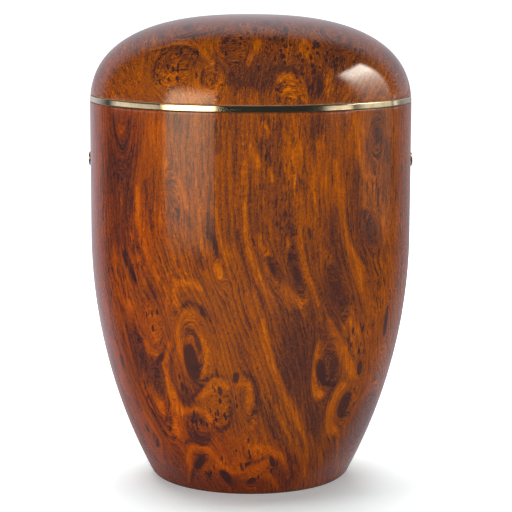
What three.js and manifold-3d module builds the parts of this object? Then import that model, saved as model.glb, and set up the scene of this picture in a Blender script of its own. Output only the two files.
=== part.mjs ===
// Biodegradable cremation urn: a hollow moulded vessel on a narrow flat base, with a domed lid that lifts off,
// a brass strip round the lid's lower edge, and a brass eyelet in each side for a lowering cord.
// Millimetres, +Z up. The origin is the middle of the underside, and the eyelets are on the X axis.

import * as THREE from "three";
import { mergeVertices } from "three/addons/utils/BufferGeometryUtils.js";
import Module from "manifold-3d";

const wasm = await Module();
wasm.setup();

// Driving dimensions of the vessel
const WIDEST_RADIUS = 100; // at the rim
const RIM_HEIGHT = 237.7;
const WALL = 3;
const BASE_EDGE_RADIUS = 9; // rounds the underside into the wall
const WALL_LEAN = THREE.MathUtils.degToRad(27.65); // off the vertical, just above the base
const UPPER_LEAN = THREE.MathUtils.degToRad(0.08); // of the nearly straight upper wall
const STRAIGHT_FROM = 155.3; // height where the curved wall turns into the straight one
const RIM_BEVEL = 0.5;

// Driving dimensions of the lid and its brass strip
const STRIP_HEIGHT = 3.5;
const STRIP_THICKNESS = 1;
const STRIP_TAPER = 0.25; // its top edge stands this much further in than its bottom edge, like the lid
const STRIP_BEVEL = 0.3;
const DOME_RISE = 49.3; // above the strip
const DOME_WIDEST_DROP = 8.3; // how far below the strip's top the dome's curve would be widest
const DOME_EXPONENT = 2.5; // of the superellipse, 2 being an ellipse and more being squarer
const SPIGOT_DEPTH = 10; // how far the lid's inner ring reaches into the mouth
const SPIGOT_THICKNESS = 2.6;
const SPIGOT_BEVEL = 0.8;
const LOOSE_FIT = 0.4; // between the spigot and the mouth
const GAP = 0.3; // between pieces that are fixed to each other

// Driving dimensions of the eyelets
const EYELET_HEIGHT = 201;
const BORE_RADIUS = 1.3;
const BARREL_RADIUS = 1.65;
const CREST_RADIUS = 2.5; // where the outer flange stands furthest out
const FLANGE_RADIUS = 4.4;
const FLANGE_PROUD = 1.4; // of the wall outside
const FLANGE_EDGE = 0.25; // thickness of the outer flange at its rim
const INNER_FLANGE_RADIUS = 3.2;
const INNER_FLANGE_THICKNESS = 0.8;

// Facets
const SIDES = 64;
const EYELET_SIDES = 20;
const SIDE_FLAT = Math.cos(Math.PI / SIDES); // distance of a facet's middle from the axis, for a corner at 1

const burl = new THREE.MeshStandardMaterial({ color: 0x8a3d14, roughness: 0.3, metalness: 0 });
const brass = new THREE.MeshStandardMaterial({ color: 0xc9a55c, roughness: 0.2, metalness: 1 });

// A point of a profile: distance from the axis, and height.
const at = (radius, height) => new THREE.Vector2(radius, height);

// Points along a circle's arc in the plane of a profile. Angle 0 points outwards and a quarter turn points up.
function arc(centre, radius, from, to, steps) {
  return Array.from({ length: steps + 1 }, (_, i) => {
    const angle = THREE.MathUtils.lerp(from, to, i / steps);
    return at(centre.x + radius * Math.cos(angle), centre.y + radius * Math.sin(angle));
  });
}

// Points up one quarter of a superellipse, from a height above its widest level to its top on the axis.
function superellipse(widestRadius, widestHeight, rise, fromHeight, steps) {
  const power = 2 / DOME_EXPONENT;
  const first = Math.asin(((fromHeight - widestHeight) / rise) ** (1 / power));
  return Array.from({ length: steps + 1 }, (_, i) => {
    const angle = THREE.MathUtils.lerp(first, Math.PI / 2, i / steps);
    const radius = i < steps ? widestRadius * Math.cos(angle) ** power : 0;
    return at(radius, widestHeight + rise * Math.sin(angle) ** power);
  });
}

// Leaves only positions, joins the vertices that coincide, and drops the triangles that close up on the axis.
function closed(geometry) {
  geometry.deleteAttribute("normal");
  geometry.deleteAttribute("uv");
  const merged = mergeVertices(geometry);
  const corners = merged.index.array;
  const kept = [];
  for (let i = 0; i < corners.length; i += 3) {
    const [a, b, c] = corners.slice(i, i + 3);
    if (a !== b && b !== c && c !== a) kept.push(a, b, c);
  }
  merged.setIndex(kept);
  return merged;
}

// A solid turned about the Z axis, with a flat facet facing each of +X, -X, +Y and -Y.
function turned(profile, sides) {
  const lathe = new THREE.LatheGeometry(profile, sides, Math.PI / sides);
  return closed(lathe.rotateX(Math.PI / 2));
}

function cut(geometry, tool) {
  const [body, remove] = [geometry, tool].map(
    (g) =>
      new wasm.Manifold(
        new wasm.Mesh({
          numProp: 3,
          vertProperties: new Float32Array(g.getAttribute("position").array),
          triVerts: new Uint32Array(g.index.array),
        }),
      ),
  );
  const mesh = body.subtract(remove).getMesh();
  const result = new THREE.BufferGeometry();
  result.setAttribute("position", new THREE.BufferAttribute(mesh.vertProperties, 3));
  result.setIndex(Array.from(mesh.triVerts));
  return result;
}

// The vessel's wall is one large arc that swells from the base edge and runs out into the straight upper wall.
const WALL_START = BASE_EDGE_RADIUS * (1 - Math.sin(WALL_LEAN));
const SWELL_RADIUS = (STRAIGHT_FROM - WALL_START) / (Math.sin(WALL_LEAN) - Math.sin(UPPER_LEAN));
const STRAIGHT_RADIUS = WIDEST_RADIUS - (RIM_HEIGHT - STRAIGHT_FROM) * Math.tan(UPPER_LEAN);
const SWELL_CENTRE = at(
  STRAIGHT_RADIUS - SWELL_RADIUS * Math.cos(UPPER_LEAN),
  STRAIGHT_FROM + SWELL_RADIUS * Math.sin(UPPER_LEAN),
);
const BASE_EDGE_CENTRE = at(
  SWELL_CENTRE.x + (SWELL_RADIUS - BASE_EDGE_RADIUS) * Math.cos(WALL_LEAN),
  BASE_EDGE_RADIUS,
);

// The wall's arcs, upwards from the underside, as they run at a depth inside the outer face.
function vesselWall(depth, edgeSteps, swellSteps) {
  const edge = arc(BASE_EDGE_CENTRE, BASE_EDGE_RADIUS - depth, -Math.PI / 2, -WALL_LEAN, edgeSteps);
  const swell = arc(SWELL_CENTRE, SWELL_RADIUS - depth, -WALL_LEAN, -UPPER_LEAN, swellSteps);
  return [...edge, ...swell.slice(1)];
}

function vessel() {
  const profile = [
    at(0, 0),
    ...vesselWall(0, 4, 12),
    at(WIDEST_RADIUS, RIM_HEIGHT - RIM_BEVEL),
    at(WIDEST_RADIUS - RIM_BEVEL, RIM_HEIGHT),
    at(WIDEST_RADIUS - WALL, RIM_HEIGHT),
    ...vesselWall(WALL, 3, 8).reverse(),
    at(0, WALL),
  ];
  const bothWalls = 2 * WIDEST_RADIUS + WALL;
  const hole = new THREE.CylinderGeometry(BARREL_RADIUS + GAP, BARREL_RADIUS + GAP, bothWalls, EYELET_SIDES);
  hole.rotateZ(Math.PI / 2).translate(0, 0, EYELET_HEIGHT);
  return cut(turned(profile, SIDES), closed(hole));
}

const STRIP_BOTTOM = RIM_HEIGHT + GAP;
const STRIP_TOP = STRIP_BOTTOM + STRIP_HEIGHT;

function strip() {
  const inside = WIDEST_RADIUS - STRIP_THICKNESS;
  const topRadius = WIDEST_RADIUS - STRIP_TAPER;
  return turned(
    [
      at(inside, STRIP_BOTTOM),
      at(WIDEST_RADIUS - STRIP_BEVEL, STRIP_BOTTOM),
      at(WIDEST_RADIUS, STRIP_BOTTOM + STRIP_BEVEL),
      at(topRadius, STRIP_TOP - STRIP_BEVEL),
      at(topRadius - STRIP_BEVEL, STRIP_TOP),
      at(inside, STRIP_TOP),
      at(inside, STRIP_BOTTOM),
    ],
    SIDES,
  );
}

// A dome of even wall, standing on the rim by the step between its spigot and the rebate that holds the strip.
function lid() {
  const widestHeight = STRIP_TOP - DOME_WIDEST_DROP;
  const rise = DOME_RISE + DOME_WIDEST_DROP;
  const spigotOuter = WIDEST_RADIUS - WALL - LOOSE_FIT;
  const spigotInner = spigotOuter - SPIGOT_THICKNESS;
  const spigotBottom = RIM_HEIGHT - SPIGOT_DEPTH;
  const rebateRadius = WIDEST_RADIUS - STRIP_THICKNESS - GAP;
  const rebateTop = STRIP_TOP + GAP;
  const outside = superellipse(WIDEST_RADIUS, widestHeight, rise, rebateTop, 14);
  const inside = superellipse(WIDEST_RADIUS - WALL, widestHeight, rise - WALL, rebateTop + WALL, 8);
  return turned(
    [
      ...inside.reverse(),
      at(spigotInner, rebateTop),
      at(spigotInner, spigotBottom),
      at(spigotOuter - SPIGOT_BEVEL, spigotBottom),
      at(spigotOuter, spigotBottom + SPIGOT_BEVEL),
      at(spigotOuter, RIM_HEIGHT),
      at(rebateRadius, RIM_HEIGHT),
      at(rebateRadius, rebateTop),
      ...outside,
    ],
    SIDES,
  );
}

// A tube through the wall, with a rounded flange outside and a clenched one inside. Its axis is +X here, and
// 0 on it is the wall's outer face.
function eyelet() {
  const innerFace = -WALL - GAP;
  const innerEnd = innerFace - INNER_FLANGE_THICKNESS;
  const edgeHeight = GAP + FLANGE_EDGE;
  const domeSteps = 4;
  const dome = Array.from({ length: domeSteps + 1 }, (_, i) => {
    const angle = (Math.PI / 2) * (i / domeSteps);
    const radius = CREST_RADIUS + (FLANGE_RADIUS - CREST_RADIUS) * Math.cos(angle);
    return at(radius, edgeHeight + (FLANGE_PROUD - edgeHeight) * Math.sin(angle));
  });
  const ring = turned(
    [
      at(BORE_RADIUS, innerEnd),
      at(INNER_FLANGE_RADIUS, innerEnd),
      at(INNER_FLANGE_RADIUS, innerFace),
      at(BARREL_RADIUS, innerFace),
      at(BARREL_RADIUS, GAP),
      at(FLANGE_RADIUS, GAP),
      ...dome,
      at(BORE_RADIUS, FLANGE_PROUD - (CREST_RADIUS - BORE_RADIUS)),
      at(BORE_RADIUS, innerEnd),
    ],
    EYELET_SIDES,
  );
  return ring.rotateY(Math.PI / 2);
}

function piece(name, geometry, material) {
  const mesh = new THREE.Mesh(geometry, material.clone());
  mesh.name = name;
  return mesh;
}

const urn = new THREE.Group();
urn.name = "cremation_urn";
urn.add(piece("urn_body", vessel(), burl));

const liftOff = new THREE.Group();
liftOff.name = "lift_off_lid";
liftOff.add(piece("lid", lid(), burl));
liftOff.add(piece("brass_strip", strip(), brass));
urn.add(liftOff);

const rimToEyelet = RIM_HEIGHT - EYELET_HEIGHT;
const wallAtEyelet = (WIDEST_RADIUS - rimToEyelet * Math.tan(UPPER_LEAN)) * SIDE_FLAT;
for (const [name, turn] of [
  ["eyelet_right", 0],
  ["eyelet_left", Math.PI],
]) {
  const mesh = piece(name, eyelet(), brass);
  mesh.position.x = wallAtEyelet;
  const side = new THREE.Group();
  side.position.z = EYELET_HEIGHT;
  side.rotation.z = turn;
  side.add(mesh);
  urn.add(side);
}

export default urn;
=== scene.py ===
"""A biodegradable cremation urn: a hollow vessel and a domed lid in a lacquered burl finish, a polished brass
band at the seam and a small brass eyelet in each side.

Metres, +Z up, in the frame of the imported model. Lengths times MM are in millimetres. The burl's figure is
drawn from lists of knots, spots, pits and strokes, whose places are given in millimetres over the surface.
"""

import math
from collections import namedtuple

import bmesh
import bpy
import numpy as np
from mathutils import Matrix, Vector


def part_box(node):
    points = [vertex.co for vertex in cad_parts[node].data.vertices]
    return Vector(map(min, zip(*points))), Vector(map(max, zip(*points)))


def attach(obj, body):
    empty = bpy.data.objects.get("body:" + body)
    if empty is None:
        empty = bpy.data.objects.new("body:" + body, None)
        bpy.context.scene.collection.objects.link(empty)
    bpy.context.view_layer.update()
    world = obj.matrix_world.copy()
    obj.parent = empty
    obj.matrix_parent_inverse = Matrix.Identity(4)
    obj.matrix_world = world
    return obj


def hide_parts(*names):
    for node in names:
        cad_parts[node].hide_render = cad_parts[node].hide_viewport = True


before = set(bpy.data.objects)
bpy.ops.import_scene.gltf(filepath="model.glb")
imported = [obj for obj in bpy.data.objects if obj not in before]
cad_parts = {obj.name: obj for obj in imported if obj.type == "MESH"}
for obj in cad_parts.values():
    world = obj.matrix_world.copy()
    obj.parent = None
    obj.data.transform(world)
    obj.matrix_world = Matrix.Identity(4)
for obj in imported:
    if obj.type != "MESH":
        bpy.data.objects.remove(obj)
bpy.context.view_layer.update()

MM = 0.001

# The wall and lid, beside what the frame gives
WALL = 3.0
BASE_EDGE_RADIUS = 9.0
WALL_LEAN = math.radians(27.65)
UPPER_LEAN = math.radians(0.08)
STRAIGHT_FROM = 155.3
RIM_BEVEL = 0.5
DOME_WIDEST_DROP = 8.3
DOME_EXPONENT = 2.5
DOME_EDGE_ROUND = 0.5
SPIGOT_DEPTH = 10.0
SPIGOT_THICKNESS = 2.6
SPIGOT_BEVEL = 0.8
LOOSE_FIT = 0.4
GAP = 0.3
BAND_THICKNESS = 1.0
BAND_TAPER = 0.25
BAND_EDGE_ROUND = 0.3
BORE_RADIUS = 1.3
BARREL_RADIUS = 1.65
CREST_RADIUS = 2.5
INNER_FLANGE_RADIUS = 3.2
INNER_FLANGE_THICKNESS = 0.8
FLANGE_EDGE = 0.25

# How finely the pieces are turned
AROUND = 384
DOME_STEPS = 150
BAND_AROUND = 512
EYELET_AROUND = 48
SHARP_FROM = math.radians(40)  # edges steeper than this stay sharp


def millimetres(node):
    """The lowest and highest corner of a CAD node in mm, and the furthest that it reaches from the Z axis."""
    low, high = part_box(node)
    reach = max(math.hypot(v.co.x, v.co.y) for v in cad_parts[node].data.vertices)
    return low / MM, high / MM, reach / MM


_, body_high, WIDEST = millimetres("urn_body")
band_low, band_high, _ = millimetres("brass_strip")
_, lid_high, _ = millimetres("lid")
eyelet_low, eyelet_high, _ = millimetres("eyelet_right")
RIM = body_high.z
LID_TOP = lid_high.z
EYELET_HEIGHT = (eyelet_low.z + eyelet_high.z) / 2
FLANGE_RADIUS = (eyelet_high.z - eyelet_low.z) / 2


# Profiles: lists of (distance from the axis, height) in mm

def arc(centre, radius, start, end, steps):
    """Points along a circle, with angle 0 outwards and a quarter turn up."""
    angles = np.linspace(start, end, steps + 1)
    return [(centre[0] + radius * math.cos(a), centre[1] + radius * math.sin(a)) for a in angles]


def straight(start, end, steps):
    """Points on a line after its start, up to and with its end."""
    return [
        (start[0] + (end[0] - start[0]) * i / steps, start[1] + (end[1] - start[1]) * i / steps)
        for i in range(1, steps + 1)
    ]


WALL_START = BASE_EDGE_RADIUS * (1 - math.sin(WALL_LEAN))
SWELL_RADIUS = (STRAIGHT_FROM - WALL_START) / (math.sin(WALL_LEAN) - math.sin(UPPER_LEAN))
STRAIGHT_RADIUS = WIDEST - (RIM - STRAIGHT_FROM) * math.tan(UPPER_LEAN)
SWELL_CENTRE = (
    STRAIGHT_RADIUS - SWELL_RADIUS * math.cos(UPPER_LEAN),
    STRAIGHT_FROM + SWELL_RADIUS * math.sin(UPPER_LEAN),
)
BASE_EDGE_CENTRE = (
    SWELL_CENTRE[0] + (SWELL_RADIUS - BASE_EDGE_RADIUS) * math.cos(WALL_LEAN),
    BASE_EDGE_RADIUS,
)


def vessel_wall(depth, edge_steps, swell_steps):
    """The wall's arcs, upwards from the underside, at a depth inside the outer face."""
    edge = arc(BASE_EDGE_CENTRE, BASE_EDGE_RADIUS - depth, -math.pi / 2, -WALL_LEAN, edge_steps)
    swell = arc(SWELL_CENTRE, SWELL_RADIUS - depth, -WALL_LEAN, -UPPER_LEAN, swell_steps)
    return edge + swell[1:]


def vessel_profile():
    """The closed wall, from the middle of the underside to the middle of the floor inside."""
    outer = vessel_wall(0, 14, 112)
    rim_edge = arc((WIDEST - RIM_BEVEL, RIM - RIM_BEVEL), RIM_BEVEL, 0, math.pi / 2, 4)
    inner_edge = arc((WIDEST - WALL + RIM_BEVEL, RIM - RIM_BEVEL), RIM_BEVEL, math.pi / 2, math.pi, 3)
    inner = vessel_wall(WALL, 6, 14)[::-1]
    underside = straight((0, 0), outer[0], 8)
    upper = straight(outer[-1], rim_edge[0], 66)
    floor = straight(inner[-1], (0, WALL), 5)
    return [(0, 0)] + underside + outer[1:] + upper + rim_edge[1:] + inner_edge + inner + floor


def superellipse(widest_radius, widest_height, rise, from_height, steps):
    """Points up a quarter of a superellipse, from a height above its widest level to its top on the axis."""
    power = 2 / DOME_EXPONENT
    first = math.asin(((from_height - widest_height) / rise) ** (1 / power))
    turns = np.linspace(first, math.pi / 2, steps + 1)
    points = [
        (widest_radius * math.cos(t) ** power, widest_height + rise * math.sin(t) ** power)
        for t in turns[:-1]
    ]
    return points + [(0, widest_height + rise)]


def lid_profile():
    """The dome's closed section, from its top inside to its top outside."""
    widest_height = band_high.z - DOME_WIDEST_DROP
    rise = LID_TOP - widest_height
    spigot_outer = WIDEST - WALL - LOOSE_FIT
    spigot_inner = spigot_outer - SPIGOT_THICKNESS
    spigot_bottom = RIM - SPIGOT_DEPTH
    rebate_radius = WIDEST - BAND_THICKNESS - GAP
    rebate_top = band_high.z + GAP
    outside = superellipse(WIDEST, widest_height, rise, rebate_top + DOME_EDGE_ROUND, DOME_STEPS)
    edge = arc(
        (outside[0][0] - DOME_EDGE_ROUND, outside[0][1]), DOME_EDGE_ROUND, -math.pi / 2, 0, 4
    )
    inside = superellipse(WIDEST - WALL, widest_height, rise - WALL, rebate_top + WALL, 24)[::-1]
    ring = [
        (spigot_inner, rebate_top),
        (spigot_inner, spigot_bottom),
        (spigot_outer - SPIGOT_BEVEL, spigot_bottom),
        (spigot_outer, spigot_bottom + SPIGOT_BEVEL),
        (spigot_outer, RIM),
        (rebate_radius, RIM),
        (rebate_radius, rebate_top),
    ]
    return inside + ring + edge[:-1] + outside


def band_profile():
    """The band's section: a thin strip that leans in like the dome above it, with rounded edges."""
    inside = WIDEST - BAND_THICKNESS
    low, high = band_low.z, band_high.z
    lower = arc((WIDEST - BAND_EDGE_ROUND, low + BAND_EDGE_ROUND), BAND_EDGE_ROUND, -math.pi / 2, 0, 5)
    top_radius = WIDEST - BAND_TAPER
    upper = arc(
        (top_radius - BAND_EDGE_ROUND, high - BAND_EDGE_ROUND), BAND_EDGE_ROUND, 0, math.pi / 2, 5
    )
    face = straight(lower[-1], upper[0], 6)
    return [(inside, low)] + lower + face + upper[1:] + [(inside, high)]


def eyelet_profile():
    """The eyelet's section about its own axis, where 0 is the wall's outer face and outwards is up."""
    proud = eyelet_high.x - wall_at_eyelet()
    edge_height = GAP + FLANGE_EDGE
    inner_face = -WALL - GAP
    inner_end = inner_face - INNER_FLANGE_THICKNESS
    lip = CREST_RADIUS - BORE_RADIUS
    dome = [
        (
            CREST_RADIUS + (FLANGE_RADIUS - CREST_RADIUS) * math.cos(a),
            edge_height + (proud - edge_height) * math.sin(a),
        )
        for a in np.linspace(0, math.pi / 2, 13)
    ]
    mouth = arc((CREST_RADIUS, proud - lip), lip, math.pi / 2, math.pi, 7)[1:]
    return (
        [(BORE_RADIUS, inner_end), (INNER_FLANGE_RADIUS, inner_end), (INNER_FLANGE_RADIUS, inner_face)]
        + [(BARREL_RADIUS, inner_face), (BARREL_RADIUS, GAP), (FLANGE_RADIUS, GAP)]
        + dome
        + mouth
    )


def wall_at_eyelet():
    """Distance of the vessel's outer face from the axis at the height of the eyelets."""
    return WIDEST - (RIM - EYELET_HEIGHT) * math.tan(UPPER_LEAN)


# Meshes

def add_object(name, data):
    made = bpy.data.objects.new(name, data)
    bpy.context.scene.collection.objects.link(made)
    return made


def plate(name, width, height):
    """A flat rectangle about the origin, which faces up."""
    w, h = width / 2, height / 2
    mesh = bpy.data.meshes.new(name)
    mesh.from_pydata([(-w, -h, 0), (w, -h, 0), (w, h, 0), (-w, h, 0)], [], [(0, 1, 2, 3)])
    return add_object(name, mesh)


def turned(name, profile, around, closed):
    """An object turned about Z from a profile in mm that closes on itself, or starts and ends on the axis."""
    angles = np.arange(around) * 2 * math.pi / around
    vertices = []
    rings = []
    for radius, height in profile:
        start = len(vertices)
        if radius < 1e-6:
            vertices.append((0, 0, height * MM))
            rings.append([start] * around)
            continue
        vertices += [(radius * MM * math.cos(a), radius * MM * math.sin(a), height * MM) for a in angles]
        rings.append(list(range(start, start + around)))
    pairs = list(zip(rings, rings[1:]))
    if closed:
        pairs.append((rings[-1], rings[0]))
    faces = []
    for low, high in pairs:
        for i in range(around):
            j = (i + 1) % around
            corners = [low[i], low[j], high[j], high[i]]
            faces.append(list(dict.fromkeys(corners)))
    mesh = bpy.data.meshes.new(name)
    mesh.from_pydata(vertices, [], faces)
    made = bmesh.new()
    made.from_mesh(mesh)
    bmesh.ops.recalc_face_normals(made, faces=made.faces)
    made.to_mesh(mesh)
    made.free()
    mesh.shade_smooth()
    mesh.set_sharp_from_angle(angle=SHARP_FROM)
    return add_object(name, mesh)


def vectors(items, name):
    """One vector of each vertex or face, as the rows of an array."""
    flat = np.empty(len(items) * 3)
    items.foreach_get(name, flat)
    return flat.reshape(-1, 3)


def paint(mesh, name, values):
    """Keeps one number, or one vector, for each vertex under a name that materials read."""
    if values.ndim == 2:
        mesh.attributes.new(name, "FLOAT_VECTOR", "POINT").data.foreach_set("vector", values.ravel())
    else:
        mesh.attributes.new(name, "FLOAT", "POINT").data.foreach_set("value", values)


def assign(piece, materials, chooser):
    """Gives the piece its materials, with chooser(face centres in mm, normals) naming each face's number."""
    mesh = piece.data
    for material in materials:
        mesh.materials.append(material)
    faces = mesh.polygons
    numbers = chooser(vectors(faces, "center") / MM, vectors(faces, "normal"))
    faces.foreach_set("material_index", numbers.astype(np.int32))


def drill(piece, radius, height):
    """Cuts a bore of a radius along X, right through the piece, at a height in mm."""
    bpy.ops.mesh.primitive_cylinder_add(
        vertices=EYELET_AROUND, radius=radius * MM, depth=3 * WIDEST * MM,
        location=(0, 0, height * MM), rotation=(0, math.pi / 2, 0),
    )
    cutter = bpy.context.object
    cut = piece.modifiers.new("bore", "BOOLEAN")
    cut.operation = "DIFFERENCE"
    cut.solver = "EXACT"
    cut.object = cutter
    seen = piece.evaluated_get(bpy.context.evaluated_depsgraph_get())
    mesh = bpy.data.meshes.new_from_object(seen)
    piece.modifiers.clear()
    piece.data = mesh
    bpy.data.objects.remove(cutter)


# The burl's figure. Across and along are mm over the surface, and a tilt leans a feature's top to the right.

Knot = namedtuple("Knot", "across along half_width half_length rings tilt", defaults=[0])
Blot = namedtuple("Blot", "across along half_width half_length amount tilt", defaults=[0])
Stroke = namedtuple("Stroke", "amount half_width points")
Figure = namedtuple("Figure", "knots spots pits dashes tones strokes wild calm")

DRUM_RADIUS = 100  # the across coordinate of the vessel is the angle times this
FULL_TURN = 2 * math.pi * DRUM_RADIUS
HIDDEN_FROM = 135  # across, round the side, where the photo's figure ends and the scattered one begins


def each(kind, rows):
    """Features of one kind, one for each row of their values."""
    return [kind(*row) for row in rows]


# The front of the vessel. Round a knot the grain parts, and inside it the grain runs in rings.
BODY_KNOTS = each(Knot, [
    (-38, 93, 13, 27, 1.2, -6), (-68, 68, 14, 34, 0.8), (-87, 240, 13, 40, 1.6), (52, 84, 10, 22, 0.8, -3),
    (74, 57, 13, 17, 1.4, 6), (108, 45, 19, 22, 1.2), (28, 142, 5, 16, 1, -18), (55, 132, 6, 18, 1, -22),
    (13, 146, 4, 12, 1, -20), (-18, 144, 3.5, 9, 1.2, -12), (-64, 108, 6, 12, 0.6), (-39, 45, 10, 11, 0.8),
    (-23, 60, 11, 15, 0.6, 10), (-2, 66, 6, 13, 1.4, -10), (-87, 32, 7, 9, 1, 20), (82, 80, 4, 9, 1, 10),
    (-47, 190, 4, 12, 0.6, -16), (85, 222, 7, 14, 0.8), (80, 166, 6, 12, 0.8, -12),
    (104, 106, 4, 14, 0.8, -4), (-43, 22, 5, 11, 1.2, 55), (-21, 13, 5, 10, 1.2, -50),
    (18, 24, 6, 9, 1.2, -40), (2, 10, 5, 10, 1.2, 80),
])

# Dark eyes
BODY_SPOTS = each(Blot, [
    (-38, 88, 4, 10, 1.15, -12), (49, 81, 3.2, 8, 0.9, -20), (58, 84, 4.2, 12, 0.45, -6),
    (74, 57, 5, 8.6, 0.85, 6), (28, 142, 3, 9, 0.4, -20), (13, 146, 2.2, 8, 0.6, -24),
    (55, 131, 3.4, 11, 0.4, -24), (36, 166, 1.4, 5, 0.6, -12), (104, 106, 2.6, 10, 0.6, -4),
    (85, 222, 3.8, 8, 0.4, -10), (80, 166, 3, 9, 0.35, -24), (-9, 80, 1.8, 3.4, 0.8, 10),
    (82, 80, 2.8, 6, 0.6, -20), (-22, 164, 1.6, 7, 0.35, -20), (-47, 72, 1.2, 3, 0.9),
    (-44, 70, 1.3, 2.4, 0.9), (-20, 70, 1.5, 2.4, 0.9), (-29, 120, 1.3, 3.6, 0.8, -16),
    (-78, 139, 1.7, 5.5, 0.9, -22), (-84, 148, 1.3, 4.5, 0.8, -20), (-88, 127, 1.3, 6, 0.6, -20),
    (-62, 89, 2.2, 4.5, 0.6, 40), (-44, 22, 2.8, 7, 0.7, 50), (-21, 13, 2.8, 6, 0.75, -50),
    (-37, 14, 1.8, 2.4, 0.6, 40), (2, 11, 2.6, 4.6, 0.75, 75), (19, 24, 2, 5, 0.8, -30),
    (-1, 23, 1.4, 2.4, 0.8, 60), (-86, 31, 2, 3.4, 0.7, 30), (-94, 38, 2, 3.4, 0.6), (-103, 82, 3, 6, 0.5),
    (-133, 195.5, 1.4, 1.1, 1.4),
])

# Clusters of small dark pits
BODY_PITS = each(Blot, [
    (-24, 59, 11, 15, 1, 10), (-36, 51, 7, 6, 1), (-47, 76, 4, 9, 0.7), (-65, 108, 5, 10, 0.9),
    (-25, 20, 16, 8, 0.5), (6, 26, 16, 12, 0.6), (74, 98, 7, 12, 0.6, -20), (16, 200, 6, 14, 0.4),
])

# Where short streaks gather
BODY_DASHES = each(Blot, [
    (-78, 144, 20, 20, 1, -20), (-58, 130, 10, 12, 0.8), (88, 185, 12, 36, 1), (84, 140, 14, 26, 0.8, -8),
    (16, 190, 10, 34, 0.8), (38, 215, 8, 20, 0.6), (72, 106, 10, 22, 0.7, -12), (-42, 165, 9, 22, 0.5, -10),
    (95, 118, 10, 26, 0.8, -6),
])

# Darker wood below 0, lighter wood above
BODY_TONES = each(Blot, [
    (-104, 175, 7, 60, -0.4), (34, 84, 20, 34, -0.6, -14), (-20, 60, 60, 14, -0.15),
    (50, 140, 30, 34, -0.25, -14), (-86, 184, 10, 26, -1), (-88, 158, 7, 14, -0.4), (-74, 83, 14, 10, -1.3),
    (-84, 100, 8, 9, -1), (-66, 72, 6, 7, -0.9), (-64, 132, 8, 8, -0.6), (-98, 215, 5, 24, -0.3),
    (31, 92, 11, 20, -1, -14), (49, 50, 7, 14, -0.9, -14), (55, 92, 6, 13, -0.8, -3),
    (20, 182, 8, 22, -0.8), (12, 218, 6, 12, -0.6), (52, 166, 6, 26, -0.9, -4), (67, 188, 5, 26, -1, -4),
    (40, 230, 6, 8, -0.8), (24, 138, 10, 14, -0.5, -20), (54, 128, 8, 16, -0.7, -20),
    (84, 218, 9, 18, -0.6), (80, 162, 8, 16, -0.6, -20), (108, 45, 14, 18, -0.8), (32, 14, 10, 9, -1, -10),
    (80, 26, 16, 14, -0.4), (-74, 16, 14, 12, -0.6), (-30, 8, 30, 5, -0.5), (-46, 65, 5, 4, -0.8),
    (-36, 73, 5, 5, -0.7, 30), (-39, 40, 8, 5, -0.7), (-45, 215, 8, 26, -0.3), (-62, 220, 6, 16, 0.6),
    (-42, 62, 8, 4, -0.3), (-26, 62, 8, 9, 0.7, 15), (-46, 94, 3, 7, 1), (-66, 108, 6, 10, 0.5),
    (-69, 57, 4, 6, 1.1), (-88, 224, 3, 4, 0.9), (-82, 116, 4, 7, 0.8), (25, 215, 5, 12, 1),
    (70, 222, 8, 9, 0.9), (43, 195, 6, 14, 0.5), (93, 172, 3, 5, 1), (48, 68, 4, 5, 1.1),
    (0, 32, 12, 7, 0.7), (64, 108, 5, 6, 0.6), (-10, 24, 9, 5, 0.5), (98, 125, 8, 12, 0.4),
])

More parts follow.
